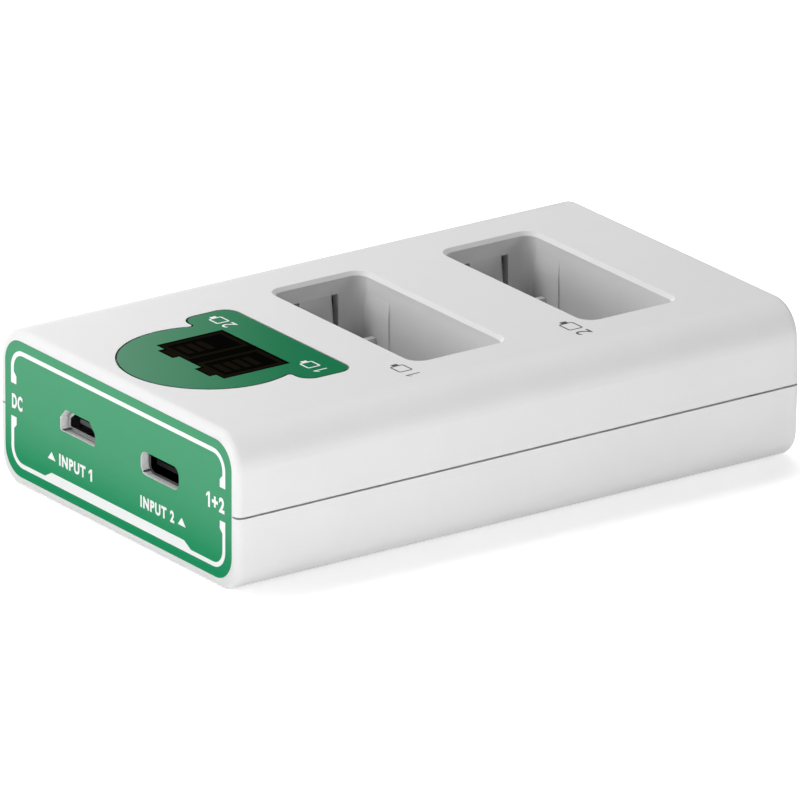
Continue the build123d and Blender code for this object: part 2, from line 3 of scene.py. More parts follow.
import bmesh
import bpy
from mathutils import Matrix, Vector


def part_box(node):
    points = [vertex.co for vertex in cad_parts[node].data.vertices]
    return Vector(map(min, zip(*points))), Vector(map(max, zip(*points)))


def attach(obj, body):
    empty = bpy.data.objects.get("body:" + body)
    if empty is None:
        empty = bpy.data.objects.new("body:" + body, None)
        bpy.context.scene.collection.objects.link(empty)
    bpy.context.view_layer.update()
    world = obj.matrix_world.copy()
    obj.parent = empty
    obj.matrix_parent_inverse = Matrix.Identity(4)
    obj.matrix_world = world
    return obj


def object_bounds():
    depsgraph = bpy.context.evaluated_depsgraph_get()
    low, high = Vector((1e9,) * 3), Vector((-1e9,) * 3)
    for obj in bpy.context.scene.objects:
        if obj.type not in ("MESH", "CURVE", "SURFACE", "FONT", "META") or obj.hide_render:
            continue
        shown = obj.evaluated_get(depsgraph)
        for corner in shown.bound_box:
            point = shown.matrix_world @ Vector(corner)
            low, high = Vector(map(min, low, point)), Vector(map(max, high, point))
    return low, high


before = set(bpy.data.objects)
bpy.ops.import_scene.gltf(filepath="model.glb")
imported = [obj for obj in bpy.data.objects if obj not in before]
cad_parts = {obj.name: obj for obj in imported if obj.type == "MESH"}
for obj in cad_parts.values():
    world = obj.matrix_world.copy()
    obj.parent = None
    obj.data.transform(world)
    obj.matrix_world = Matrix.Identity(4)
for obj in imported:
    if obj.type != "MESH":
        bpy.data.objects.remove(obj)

cad_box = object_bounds()


# Bottom shell
# The lower half of the case is an injection moulding in white ABS with a fine spark-eroded grain.
# Its lip locates in the top shell, and four screws from below close the case.

MOTTLE_SCALE = 90.0
MOTTLE_DETAIL = 4.0
MOTTLE_LOW = 0.3
MOTTLE_HIGH = 0.7
PIT_DETAIL = 2.0
PIT_STRENGTH = 0.5


def moulded_plastic(name, pale, dark, smooth, rough, grain, relief, specular=0.5):
    """Moulded plastic: a faint mottle in colour and gloss, over a fine even grain."""
    material = bpy.data.materials.new(name)
    material.use_nodes = True
    nodes = material.node_tree.nodes
    link = material.node_tree.links.new
    shader = nodes["Principled BSDF"]
    shader.inputs["Specular IOR Level"].default_value = specular
    place = nodes.new("ShaderNodeTexCoord")
    mottle = nodes.new("ShaderNodeTexNoise")
    mottle.inputs["Scale"].default_value = MOTTLE_SCALE
    mottle.inputs["Detail"].default_value = MOTTLE_DETAIL
    tint = nodes.new("ShaderNodeValToRGB")
    tint.color_ramp.elements[0].position = MOTTLE_LOW
    tint.color_ramp.elements[0].color = (*dark, 1.0)
    tint.color_ramp.elements[1].position = MOTTLE_HIGH
    tint.color_ramp.elements[1].color = (*pale, 1.0)
    sheen = nodes.new("ShaderNodeMapRange")
    sheen.inputs["From Min"].default_value = MOTTLE_LOW
    sheen.inputs["From Max"].default_value = MOTTLE_HIGH
    sheen.inputs["To Min"].default_value = rough
    sheen.inputs["To Max"].default_value = smooth
    pits = nodes.new("ShaderNodeTexNoise")
    pits.inputs["Scale"].default_value = 1.0 / grain
    pits.inputs["Detail"].default_value = PIT_DETAIL
    bump = nodes.new("ShaderNodeBump")
    bump.inputs["Strength"].default_value = PIT_STRENGTH
    bump.inputs["Distance"].default_value = relief
    link(place.outputs["Object"], mottle.inputs["Vector"])
    link(place.outputs["Object"], pits.inputs["Vector"])
    link(mottle.outputs["Fac"], tint.inputs["Fac"])
    link(mottle.outputs["Fac"], sheen.inputs["Value"])
    link(pits.outputs["Fac"], bump.inputs["Height"])
    link(tint.outputs["Color"], shader.inputs["Base Color"])
    link(sheen.outputs["Result"], shader.inputs["Roughness"])
    link(bump.outputs["Normal"], shader.inputs["Normal"])
    return material


def dress(material, *names):
    """Gives the named pieces of the model their finish."""
    for name in names:
        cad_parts[name].material_slots[0].material = material


white_abs = moulded_plastic(
    "white_abs",
    pale=(0.69, 0.69, 0.69), dark=(0.67, 0.67, 0.67),
    smooth=0.36, rough=0.44, grain=0.00035, relief=0.00002,
)
dress(white_abs, "bottom_shell")


# Main board
# Glass-fibre board under green solder mask, with thin copper tracks showing through as paler lines.
# It is screwed to two posts of the bottom shell, and its power parts hang below it.

LACQUER_ROUGHNESS = 0.32
TRACK_WIDTH = 0.08
TRACK_RELIEF = 0.00003


def solder_mask(name, mask, track, track_pitch):
    """Green lacquer over copper: a maze of straight tracks, slightly raised and paler."""
    material = bpy.data.materials.new(name)
    material.use_nodes = True
    nodes = material.node_tree.nodes
    link = material.node_tree.links.new
    shader = nodes["Principled BSDF"]
    shader.inputs["Roughness"].default_value = LACQUER_ROUGHNESS
    place = nodes.new("ShaderNodeTexCoord")
    tracks = nodes.new("ShaderNodeTexBrick")
    tracks.inputs["Color1"].default_value = (*mask, 1.0)
    tracks.inputs["Color2"].default_value = (*mask, 1.0)
    tracks.inputs["Mortar"].default_value = (*track, 1.0)
    tracks.inputs["Scale"].default_value = 1.0 / track_pitch
    tracks.inputs["Mortar Size"].default_value = TRACK_WIDTH
    bump = nodes.new("ShaderNodeBump")
    bump.inputs["Distance"].default_value = TRACK_RELIEF
    link(place.outputs["Object"], tracks.inputs["Vector"])
    link(tracks.outputs["Color"], shader.inputs["Base Color"])
    link(tracks.outputs["Fac"], bump.inputs["Height"])
    link(bump.outputs["Normal"], shader.inputs["Normal"])
    return material


green_board = solder_mask(
    "green_board", mask=(0.010, 0.105, 0.042), track=(0.022, 0.165, 0.070), track_pitch=0.004
)
dress(green_board, "main_board")


# Chips
# The controller and the charge chips are flat blocks of matt black moulded epoxy.
# They are soldered to the main board.

chip_epoxy = moulded_plastic(
    "chip_epoxy",
    pale=(0.012, 0.012, 0.013), dark=(0.008, 0.008, 0.009),
    smooth=0.45, rough=0.6, grain=0.0002, relief=0.00001,
)
dress(chip_epoxy, "control_chip", "charge_chips")


# Coils and capacitors
# The power parts of the charging circuits: coils in dark ferrite and capacitors in drawn aluminium cans.
# They are soldered to the main board.

def metal(name, pale, dark, smooth, rough, grain, relief):
    """Bare or plated metal, with the same mottle and grain as the plastics."""
    material = moulded_plastic(name, pale, dark, smooth, rough, grain, relief)
    material.node_tree.nodes["Principled BSDF"].inputs["Metallic"].default_value = 1.0
    return material


coil_ferrite = moulded_plastic(
    "coil_ferrite",
    pale=(0.060, 0.060, 0.062), dark=(0.042, 0.042, 0.044),
    smooth=0.5, rough=0.7, grain=0.0004, relief=0.00003,
)
capacitor_can = metal(
    "capacitor_can",
    pale=(0.62, 0.62, 0.61), dark=(0.54, 0.54, 0.53),
    smooth=0.25, rough=0.35, grain=0.0003, relief=0.00001,
)
dress(coil_ferrite, "power_coils")
dress(capacitor_can, "board_capacitors")


# Board link
# A header moulded in black nylon carries tinned steel pins from the main board to the contact board.
# The pins are soldered at both ends.

header_nylon = moulded_plastic(
    "header_nylon",
    pale=(0.013, 0.013, 0.013), dark=(0.009, 0.009, 0.009),
    smooth=0.4, rough=0.5, grain=0.0003, relief=0.00001,
)
tinned_steel = metal(
    "tinned_steel",
    pale=(0.60, 0.60, 0.58), dark=(0.50, 0.50, 0.49),
    smooth=0.28, rough=0.42, grain=0.0002, relief=0.00001,
)
dress(header_nylon, "link_header")
dress(tinned_steel, "link_pins")


# Ports
# Two receptacles with drawn steel shells and black or grey nylon tongues, soldered to the board's front
# edge. Their mouths stand just behind the openings in the end wall.

port_steel = metal(
    "port_steel",
    pale=(0.64, 0.64, 0.64), dark=(0.55, 0.55, 0.55),
    smooth=0.18, rough=0.28, grain=0.0002, relief=0.000004,
)
black_steel = metal(
    "black_steel",
    pale=(0.085, 0.085, 0.088), dark=(0.065, 0.065, 0.068),
    smooth=0.16, rough=0.24, grain=0.0002, relief=0.000004,
)
tongue_black = moulded_plastic(
    "tongue_black",
    pale=(0.004, 0.004, 0.004), dark=(0.003, 0.003, 0.003),
    smooth=0.5, rough=0.6, grain=0.0002, relief=0.000005, specular=0.1,
)
tongue_grey = moulded_plastic(
    "tongue_grey",
    pale=(0.012, 0.012, 0.013), dark=(0.009, 0.009, 0.010),
    smooth=0.4, rough=0.5, grain=0.0002, relief=0.000005,
)
dress(port_steel, "trapezoid_port_shell")
dress(black_steel, "oval_port_shell")
dress(tongue_black, "oval_port_tongue")
dress(tongue_grey, "trapezoid_port_tongue")


# Battery contacts
# In one corner of each bay a moulded holder guides three sprung brass blades.
# The blades are soldered to a strip of board that lies on pegs under the bays.

contact_brass = metal(
    "contact_brass",
    pale=(0.80, 0.58, 0.26), dark=(0.70, 0.48, 0.20),
    smooth=0.2, rough=0.32, grain=0.0002, relief=0.000005,
)
dress(green_board, "contact_board")
dress(white_abs, "contact_holder_1", "contact_holder_2")
dress(contact_brass, "contact_blades_1", "contact_blades_2")


# Display stack
# A glass panel on a white light box, with two lamps inside it and a row of leads down to the board.
# It stands on the main board and is trapped under the screen.

panel_glass = moulded_plastic(
    "panel_glass",
    pale=(0.020, 0.021, 0.020), dark=(0.016, 0.017, 0.016),
    smooth=0.06, rough=0.1, grain=0.002, relief=0.000001,
)
frame_nylon = moulded_plastic(
    "frame_nylon",
    pale=(0.78, 0.78, 0.76), dark=(0.74, 0.74, 0.72),
    smooth=0.45, rough=0.55, grain=0.0004, relief=0.00002,
)
lamp_resin = moulded_plastic(
    "lamp_resin",
    pale=(0.80, 0.76, 0.46), dark=(0.74, 0.69, 0.40),
    smooth=0.2, rough=0.3, grain=0.0004, relief=0.000005,
)
dress(panel_glass, "display_panel")
dress(frame_nylon, "panel_frame")
dress(lamp_resin, "backlight_lamps")
dress(tinned_steel, "panel_pins")


# Top shell
# The upper half of the case is one white ABS moulding with both battery bays, their sprung fingers and
# the stepped recess for the display. It has the same grain as the bottom shell.

dress(white_abs, "top_shell")


# Bay labels
# A thin grey number and battery sign beside each bay, pad-printed on the top shell.
# They read from the back of the charger. Sizes of all prints are in millimetres.

MM = 0.001
PRINT_DEPTH = 0.02
PRINT_SINK = 0.005
FLAT_ANGLE = radians(0.5)
SAME_POINT = 0.0001
CLEARING_PASSES = 2
LETTER_SPACING = 1.2
LETTER_STEPS = 6
HALF_TURN = (0, 0, pi)


def flat_sheet(name, left, right, foot, head):
    """A flat rectangle in the drawing plane, in millimetres."""
    bpy.ops.object.select_all(action="DESELECT")
    bpy.ops.mesh.primitive_plane_add(size=1.0)
    sheet = bpy.context.object
    sheet.name = name
    sheet.location = ((left + right) / 2, (foot + head) / 2, 0)
    sheet.scale = (right - left, head - foot, 1)
    bpy.ops.object.transform_apply(location=True, rotation=True, scale=True)
    return sheet


def round_corners(radius, steps):
    """Rounds all corners of the active sheet."""
    bpy.ops.object.mode_set(mode="EDIT")
    bpy.ops.mesh.select_all(action="SELECT")
    bpy.ops.mesh.bevel(offset=radius, segments=steps, affect="VERTICES")
    bpy.ops.object.mode_set(mode="OBJECT")


def hollow_out(line):
    """Leaves only a line of that width along the edge of the active sheet."""
    bpy.ops.object.mode_set(mode="EDIT")
    bpy.ops.mesh.select_all(action="SELECT")
    bpy.ops.mesh.inset(thickness=line)
    bpy.ops.mesh.delete(type="FACE")
    bpy.ops.object.mode_set(mode="OBJECT")


def select_corners(sheet, wanted):
    """Selects the corners of the sheet in edit mode for which the test holds."""
    drawing = bmesh.from_edit_mesh(sheet.data)
    for vertex in drawing.verts:
        vertex.select_set(wanted(vertex.co))
    drawing.select_flush(True)
    bmesh.update_edit_mesh(sheet.data)


def lettering(name, words, left, right, foot, head, weight):
    """Words as a flat mesh that fills the given box, in millimetres."""
    bpy.ops.object.select_all(action="DESELECT")
    bpy.ops.object.text_add()
    text = bpy.context.object
    text.name = name
    text.data.body = words
    text.data.offset = weight
    text.data.space_character = LETTER_SPACING
    text.data.resolution_u = LETTER_STEPS
    bpy.ops.object.convert(target="MESH")
    bpy.ops.object.mode_set(mode="EDIT")
    bpy.ops.mesh.select_all(action="SELECT")
    for _ in range(CLEARING_PASSES):
        bpy.ops.mesh.dissolve_degenerate(threshold=SAME_POINT)
    bpy.ops.object.mode_set(mode="OBJECT")
    points = [vertex.co for vertex in text.data.vertices]
    low = Vector((min(p.x for p in points), min(p.y for p in points), 0))
    high = Vector((max(p.x for p in points), max(p.y for p in points), 0))
    stretch = Vector(((right - left) / (high.x - low.x), (head - foot) / (high.y - low.y), 1))
    text.scale = stretch
    text.location = Vector((left, foot, 0)) - low * stretch
    bpy.ops.object.transform_apply(location=True, rotation=True, scale=True)
    return text


def figure_one(name, left, right, foot, head, stroke):
    """A figure one as a stem and a slanting flag, in millimetres."""
    stem = flat_sheet(name, right - stroke, right, foot, head)
    flag = flat_sheet(name + "_flag", left, right - stroke, head - stroke, head)
    bpy.ops.object.mode_set(mode="EDIT")
    select_corners(flag, lambda corner: corner.x < (left + right - stroke) / 2)
    bpy.ops.transform.translate(value=(0, left + stroke - right, 0))
    bpy.ops.object.mode_set(mode="OBJECT")
    return [stem, flag]


def print_on(pieces, place, turn, material):
    """Joins flat pieces into one print, gives it its thickness and lays it on the object."""
    bpy.ops.object.select_all(action="DESELECT")
    for piece in pieces:
        piece.select_set(True)
    print_piece = pieces[0]
    bpy.context.view_layer.objects.active = print_piece
    if len(pieces) > 1:
        bpy.ops.object.join()
    bpy.ops.object.mode_set(mode="EDIT")
    bpy.ops.mesh.select_all(action="SELECT")
    bpy.ops.mesh.dissolve_limited(angle_limit=FLAT_ANGLE)
    bpy.ops.mesh.select_all(action="SELECT")
    thickness = (0, 0, PRINT_DEPTH + PRINT_SINK)
    bpy.ops.mesh.extrude_region_move(TRANSFORM_OT_translate={"value": thickness})
    bpy.ops.mesh.select_all(action="SELECT")
    bpy.ops.mesh.normals_make_consistent(inside=False)
    bpy.ops.object.mode_set(mode="OBJECT")
    bpy.ops.object.shade_flat()
    print_piece.location = place
    print_piece.rotation_euler = turn
    print_piece.scale = (MM, MM, MM)
    bpy.ops.object.transform_apply(location=True, rotation=True, scale=True)
    print_piece.data.materials.clear()
    print_piece.data.materials.append(material)
    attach(print_piece, "root")
    return print_piece


NUB_LENGTH_SHARE = 0.12
NUB_REACH_SHARE = 0.22
CELL_START_SHARE = -0.1
CELL_CORNER_SHARE = 0.15
CELL_CORNER_STEPS = 4
ONE_WIDTH_SHARE = 0.32
DIGIT_WIDTH_SHARE = 0.62


def battery_label(name, number, width, height, line):
    """A number and the outline of a battery beside it, about the middle of the drawing plane."""
    foot, head = -height / 2, height / 2
    cell_left = CELL_START_SHARE * width
    cell_right = width / 2 - NUB_LENGTH_SHARE * width
    cell = flat_sheet(name, cell_left, cell_right, foot, head)
    round_corners(CELL_CORNER_SHARE * height, CELL_CORNER_STEPS)
    hollow_out(line)
    nub_reach = NUB_REACH_SHARE * height
    nub = flat_sheet(name + "_nub", cell_right, width / 2, -nub_reach, nub_reach)
    digit = name + "_digit"
    digit_left = -width / 2
    if number == "1":
        strokes = figure_one(digit, digit_left, digit_left + ONE_WIDTH_SHARE * height, foot, head, line)
    else:
        digit_right = digit_left + DIGIT_WIDTH_SHARE * height
        strokes = [lettering(digit, number, digit_left, digit_right, foot, head, weight=0.0)]
    return [cell, nub, *strokes]


BAY_LABEL_LINE = 0.22
bay_labels = (
    {"number": "1", "x": 20.45, "y": -13.8, "width": 5.5, "height": 2.4},
    {"number": "2", "x": 19.85, "y": 16.85, "width": 6.0, "height": 2.5},
)
label_grey = moulded_plastic(
    "label_grey",
    pale=(0.075, 0.075, 0.078), dark=(0.060, 0.060, 0.062),
    smooth=0.4, rough=0.5, grain=0.0003, relief=0.000002,
)
case_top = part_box("top_shell")[1].z
for label in bay_labels:
    name = "bay_label_" + label["number"]
    sheets = battery_label(name, label["number"], label["width"], label["height"], BAY_LABEL_LINE)
    place = (label["x"] * MM, label["y"] * MM, case_top - PRINT_SINK * MM)
    print_on(sheets, place, HALF_TURN, label_grey)


# Display bezel
# A glossy green plate, moulded in ABS and pressed flush into the top shell.
# A fine gap runs round it. Its edges below the face are painted almost black, as painted shade for the
# gap.

EDGE_DEPTH = 0.00003
BEZEL_GAP_PAINTED_SHADE = (0.001, 0.010, 0.005)


def tint_edges(material, axis, beyond, face_level, tint):
    """Keeps a thin plate's colour on its outer face, beyond a level, and gives its edges another, such as
    the plate's white core or painted shade in the bezel's gap.
    """
    nodes = material.node_tree.nodes
    link = material.node_tree.links.new
    shader = nodes["Principled BSDF"]
    face_colour = shader.inputs["Base Color"].links[0].from_socket
    place = nodes.new("ShaderNodeTexCoord")
    parts = nodes.new("ShaderNodeSeparateXYZ")
    on_face = nodes.new("ShaderNodeMath")
    on_face.operation = beyond
    on_face.inputs[1].default_value = face_level
    choice = nodes.new("ShaderNodeMix")
    choice.data_type = "RGBA"
    choice.inputs["A"].default_value = (*tint, 1.0)
    link(place.outputs["Object"], parts.inputs["Vector"])
    link(parts.outputs[axis], on_face.inputs[0])
    link(on_face.outputs[0], choice.inputs["Factor"])
    link(face_colour, choice.inputs["B"])
    link(choice.outputs["Result"], shader.inputs["Base Color"])


bezel_green = moulded_plastic(
    "bezel_green",
    pale=(0.0082, 0.183, 0.075), dark=(0.0073, 0.176, 0.071),
    smooth=0.10, rough=0.14, grain=0.0008, relief=0.000001,
)
bezel_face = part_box("display_bezel")[1].z
# The bezel's edges below its face get painted shade, almost black, standing for the shade in the gap round
# it.
tint_edges(bezel_green, "Z", "GREATER_THAN", bezel_face - EDGE_DEPTH, BEZEL_GAP_PAINTED_SHADE)
dress(bezel_green, "display_bezel")


# Bezel labels
# White numbers and battery signs, pad-printed in ink on the straight strip of the bezel.
# They match the signs beside the bays, one for each half of the screen.

BEZEL_LABEL_WIDTH = 5.0
BEZEL_LABEL_HEIGHT = 2.3
BEZEL_LABEL_LINE = 0.26
BEZEL_LABEL_X = 11.55
BEZEL_LABEL_Y = -23.7
label_white = moulded_plastic(
    "label_white",
    pale=(0.80, 0.80, 0.80), dark=(0.78, 0.78, 0.78),
    smooth=0.3, rough=0.4, grain=0.0003, relief=0.000002,
)
for number, side in (("1", 1), ("2", -1)):
    name = "bezel_label_" + number
    sheets = battery_label(name, number, BEZEL_LABEL_WIDTH, BEZEL_LABEL_HEIGHT, BEZEL_LABEL_LINE)
    place = (side * BEZEL_LABEL_X * MM, BEZEL_LABEL_Y * MM, case_top - PRINT_SINK * MM)
    print_on(sheets, place, HALF_TURN, label_white)


# Display screen
# A window in smoked acrylic, let into the bezel from below and flush with it.
# Two battery signs with charge bars show through it as faint brown segments.

SCREEN_SPECULAR = 0.0005
SIGN_INNER = 1.0
SIGN_OUTER = 8.2
SIGN_FRONT = -36.9
SIGN_BACK = -26.1
SIGN_LINE = 0.75
NUB_MIDDLE = 4.7
NUB_HALF = 1.55
NUB_FRONT = -38.0
BAR_LENGTH = 3.6
BAR_WIDTH = 1.15
BAR_FIRST = -34.9
BAR_PITCH = 1.76
charge_signs = (
    {"name": "charge_sign_1", "side": 1, "bars": 4},
    {"name": "charge_sign_2", "side": -1, "bars": 3},
)
smoked_acrylic = moulded_plastic(
    "smoked_acrylic",
    pale=(0.0014, 0.0014, 0.0011), dark=(0.0011, 0.0011, 0.0009),
    smooth=0.06, rough=0.1, grain=0.001, relief=0.000001, specular=SCREEN_SPECULAR,
)
segment_brown = moulded_plastic(
    "segment_brown",
    pale=(0.0062, 0.0050, 0.0026), dark=(0.0052, 0.0042, 0.0021),
    smooth=0.25, rough=0.35, grain=0.0005, relief=0.000001, specular=SCREEN_SPECULAR,
)
dress(smoked_acrylic, "display_screen")
screen_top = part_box("display_screen")[1].z
for sign in charge_signs:
    name = sign["name"]
    left, right = sorted((sign["side"] * SIGN_INNER, sign["side"] * SIGN_OUTER))
    middle = sign["side"] * NUB_MIDDLE
    sheets = [flat_sheet(name, left, right, SIGN_FRONT, SIGN_BACK)]
    hollow_out(SIGN_LINE)
    sheets.append(flat_sheet(name + "_nub", middle - NUB_HALF, middle + NUB_HALF, NUB_FRONT, SIGN_FRONT))
    for bar in range(sign["bars"]):
        bar_y = BAR_FIRST + bar * BAR_PITCH
        bar_left, bar_right = middle - BAR_LENGTH / 2, middle + BAR_LENGTH / 2
        bar_foot, bar_head = bar_y - BAR_WIDTH / 2, bar_y + BAR_WIDTH / 2
        sheets.append(flat_sheet(name + "_bar", bar_left, bar_right, bar_foot, bar_head))
    print_on(sheets, (0, 0, screen_top - PRINT_SINK * MM), (0, 0, 0), segment_brown)


# Port plate
# A thin white plastic plate with a satin green face, glued flush into the port end of the case.
# Its cut edges show white round the two plug openings.

PLATE_EDGE_TINT = (0.85, 0.85, 0.85)
plate_green = moulded_plastic(
    "plate_green",
    pale=(0.0085, 0.244, 0.099), dark=(0.0080, 0.238, 0.096),
    smooth=0.28, rough=0.32, grain=0.0003, relief=0.000002, specular=0.33,
)
plate_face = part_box("port_plate")[0].y
tint_edges(plate_green, "Y", "LESS_THAN", plate_face + EDGE_DEPTH, PLATE_EDGE_TINT)
dress(plate_green, "port_plate")


# Plate print
# White ink on the plate: a rounded frame line, broken at both sides by a mark, with a thick bar along its
# foot, and a name with a pointer under each port. Heights are above the base.

LINE_REACH = 27.4
LINE_FOOT = 3.0
LINE_HEAD = 21.1
LINE_WIDTH = 0.7
LINE_RADIUS = 3.0
LINE_CORNER_STEPS = 10
GAP_FOOT = 10.5
GAP_HEAD = 15.6
TAB_REACH = 26.05
TAB_LENGTH = 1.2
TAB_SLOPE = 0.6
BAR_HEAD = 4.65
BAR_HEAD_REACH = 17.0
BAR_FOOT_REACH = 18.7
LETTER_WEIGHT = 0.04
MARK_FOOT = 11.7
MARK_HEAD = 14.05
LEFT_MARK_HEAD = 14.0
NAME_FOOT = 6.4
NAME_HEAD = 8.25
POINTER_PLACES = (-16.95, 16.4)
POINTER_HALF = 1.0
POINTER_FOOT = 6.7
POINTER_HEAD = 7.9

# The frame line, cut open at both sides
line = flat_sheet("plate_print", -LINE_REACH, LINE_REACH, LINE_FOOT, LINE_HEAD)
round_corners(LINE_RADIUS, LINE_CORNER_STEPS)
hollow_out(LINE_WIDTH)
bpy.ops.object.mode_set(mode="EDIT")
for height in (GAP_FOOT, GAP_HEAD):
    bpy.ops.mesh.select_all(action="SELECT")
    bpy.ops.mesh.bisect(plane_co=(0, height, 0), plane_no=(0, 1, 0))
drawing = bmesh.from_edit_mesh(line.data)
for face in drawing.faces:
    face.select_set(GAP_FOOT < face.calc_center_median().y < GAP_HEAD)
bmesh.update_edit_mesh(line.data)
bpy.ops.mesh.delete(type="FACE")
bpy.ops.object.mode_set(mode="OBJECT")
sheets = [line]

# A sloped tab at each of its four ends
for side in (-1, 1):
    for start, way in ((GAP_FOOT, -1), (GAP_HEAD, 1)):
        near, far = sorted((side * TAB_REACH, side * (LINE_REACH - LINE_WIDTH)))
        end = start + way * (TAB_LENGTH + TAB_SLOPE)
        tab = flat_sheet("tab", near, far, min(start, end), max(start, end))
        bpy.ops.object.mode_set(mode="EDIT")
        bpy.ops.mesh.select_all(action="SELECT")
        bpy.ops.mesh.bisect(
            plane_co=(side * TAB_REACH, start + way * TAB_LENGTH, 0),
            plane_no=(-side, way, 0),
            clear_outer=True,
        )
        bpy.ops.object.mode_set(mode="OBJECT")
        sheets.append(tab)

# The thick bar along its foot
foot_bar = flat_sheet("foot_bar", -BAR_FOOT_REACH, BAR_FOOT_REACH, LINE_FOOT + LINE_WIDTH, BAR_HEAD)
bpy.ops.object.mode_set(mode="EDIT")
select_corners(foot_bar, lambda corner: corner.y > BAR_HEAD - LINE_WIDTH / 2)
bpy.ops.transform.resize(value=(BAR_HEAD_REACH / BAR_FOOT_REACH, 1, 1), center_override=(0, BAR_HEAD, 0))
bpy.ops.object.mode_set(mode="OBJECT")
sheets.append(foot_bar)

# Marks, names and pointers
sheets.append(
    lettering(
        "mark", "DC", left=-27.2, right=-24.5,
        foot=MARK_FOOT, head=LEFT_MARK_HEAD, weight=LETTER_WEIGHT,
    )
)
sheets.extend(figure_one("mark", left=22.6, right=23.55, foot=MARK_FOOT, head=MARK_HEAD, stroke=0.45))
sheets.append(
    lettering(
        "mark", "+2", left=24.05, right=27.2,
        foot=MARK_FOOT, head=MARK_HEAD, weight=LETTER_WEIGHT,
    )
)
sheets.append(
    lettering(
        "port_name", "INPUT", left=-15.0, right=-8.2,
        foot=NAME_FOOT, head=NAME_HEAD, weight=LETTER_WEIGHT,
    )
)
sheets.extend(figure_one("port_name", left=-7.4, right=-6.5, foot=NAME_FOOT, head=NAME_HEAD, stroke=0.42))
sheets.append(
    lettering(
        "port_name", "INPUT 2", left=5.9, right=14.5,
        foot=NAME_FOOT, head=NAME_HEAD, weight=LETTER_WEIGHT,
    )
)
for pointer_x in POINTER_PLACES:
    pointer = flat_sheet(
        "pointer", pointer_x - POINTER_HALF, pointer_x + POINTER_HALF, POINTER_FOOT, POINTER_HEAD
    )
    bpy.ops.object.mode_set(mode="EDIT")
    select_corners(pointer, lambda corner: corner.y > (POINTER_FOOT + POINTER_HEAD) / 2)
    bpy.ops.mesh.merge(type="CENTER")
    bpy.ops.object.mode_set(mode="OBJECT")
    sheets.append(pointer)
print_on(sheets, (0, plate_face + PRINT_SINK * MM, 0), (pi / 2, 0, 0), label_white)


# Screws
# Zinc-plated steel screws with crossed recesses. Two hold the main board to its posts, and four close the
# case from below.

screw_steel = metal(
    "screw_steel",
    pale=(0.58, 0.58, 0.57), dark=(0.46, 0.46, 0.45),
    smooth=0.26, rough=0.4, grain=0.0002, relief=0.00001,
)
dress(screw_steel, "board_screws", "case_screws")


# Floor
# Plain white sweep under the charger. What the camera and reflections see of it is lifted to white, and it
# still takes the charger's shadow.

FLOOR_SIZE = 12.0
FLOOR_WHITE = (0.9, 0.9, 0.9, 1.0)
FLOOR_LIFT = 0.49
BLACK = (0.0, 0.0, 0.0, 1.0)
WHITE = (1.0, 1.0, 1.0, 1.0)


def background_rays(nodes, link):
    """One where a ray comes from the camera, a reflection or a clear piece, and zero elsewhere."""
    path = nodes.new("ShaderNodeLightPath")
    total = nodes.new("ShaderNodeMath")
    total.operation = "ADD"
    link(path.outputs["Is Camera Ray"], total.inputs[0])
    link(path.outputs["Is Glossy Ray"], total.inputs[1])
    both = nodes.new("ShaderNodeMath")
    both.operation = "ADD"
    both.use_clamp = True
    link(total.outputs[0], both.inputs[0])
    link(path.outputs["Is Transmission Ray"], both.inputs[1])
    return both.outputs[0]


bpy.ops.object.select_all(action="DESELECT")
bpy.ops.mesh.primitive_plane_add(size=FLOOR_SIZE, location=(0, 0, 0))
floor = bpy.context.object
floor.name = "floor"
floor_white = bpy.data.materials.new("floor_white")
floor_white.use_nodes = True
floor_nodes = floor_white.node_tree.nodes
floor_link = floor_white.node_tree.links.new
floor_shader = floor_nodes["Principled BSDF"]
floor_shader.inputs["Base Color"].default_value = FLOOR_WHITE
floor_shader.inputs["Roughness"].default_value = 1.0
floor_shader.inputs["Specular IOR Level"].default_value = 0.0
floor_shader.inputs["Emission Color"].default_value = WHITE
lift = floor_nodes.new("ShaderNodeMath")
lift.operation = "MULTIPLY"
lift.inputs[1].default_value = FLOOR_LIFT
floor_link(background_rays(floor_nodes, floor_link), lift.inputs[0])
floor_link(lift.outputs[0], floor_shader.inputs["Emission Strength"])
floor.data.materials.append(floor_white)


# Light
# Soft lamps overhead and high at the front left light the top, a low one the port end, a strip at floor
# level the right side, and two stand behind. The white room is seen by the camera and in reflections only.

def soft_lamp(name, direction, distance, width, height, power):
    """A soft lamp that faces the charger from a direction."""
    lamp = bpy.data.lights.new(name, "AREA")
    lamp.shape = "RECTANGLE"
    lamp.size = width
    lamp.size_y = height
    lamp.energy = power
    holder = bpy.data.objects.new(name, lamp)
    holder.location = Vector(direction).normalized() * distance
    holder.rotation_euler = Vector(direction).to_track_quat("Z", "Y").to_euler()
    holder.visible_glossy = False
    bpy.context.scene.collection.objects.link(holder)


soft_lamp(
    "front_lamp", direction=(-0.06, -0.93, 0.36), distance=0.36,
    width=0.35, height=0.14, power=0.60,
)
soft_lamp(
    "side_lamp", direction=(0.94, -0.34, 0.030), distance=0.36,
    width=0.30, height=0.022, power=0.73,
)
soft_lamp(
    "overhead_lamp", direction=(-0.34, 0.03, 0.94), distance=0.60,
    width=0.50, height=0.25, power=2.3,
)
soft_lamp(
    "front_left_lamp", direction=(-0.41, -0.41, 0.82), distance=0.50,
    width=0.35, height=0.20, power=0.80,
)
soft_lamp(
    "back_lamp", direction=(-0.56, 0.66, 0.50), distance=0.90,
    width=0.60, height=0.30, power=2.0,
)
soft_lamp(
    "far_right_lamp", direction=(0.60, 0.72, 0.34), distance=0.90,
    width=0.60, height=0.20, power=1.55,
)

room = bpy.data.worlds.new("room")
room.use_nodes = True
room_nodes = room.node_tree.nodes
room_link = room.node_tree.links.new
room_nodes["Background"].inputs["Color"].default_value = WHITE
room_link(background_rays(room_nodes, room_link), room_nodes["Background"].inputs["Strength"])
bpy.context.scene.world = room


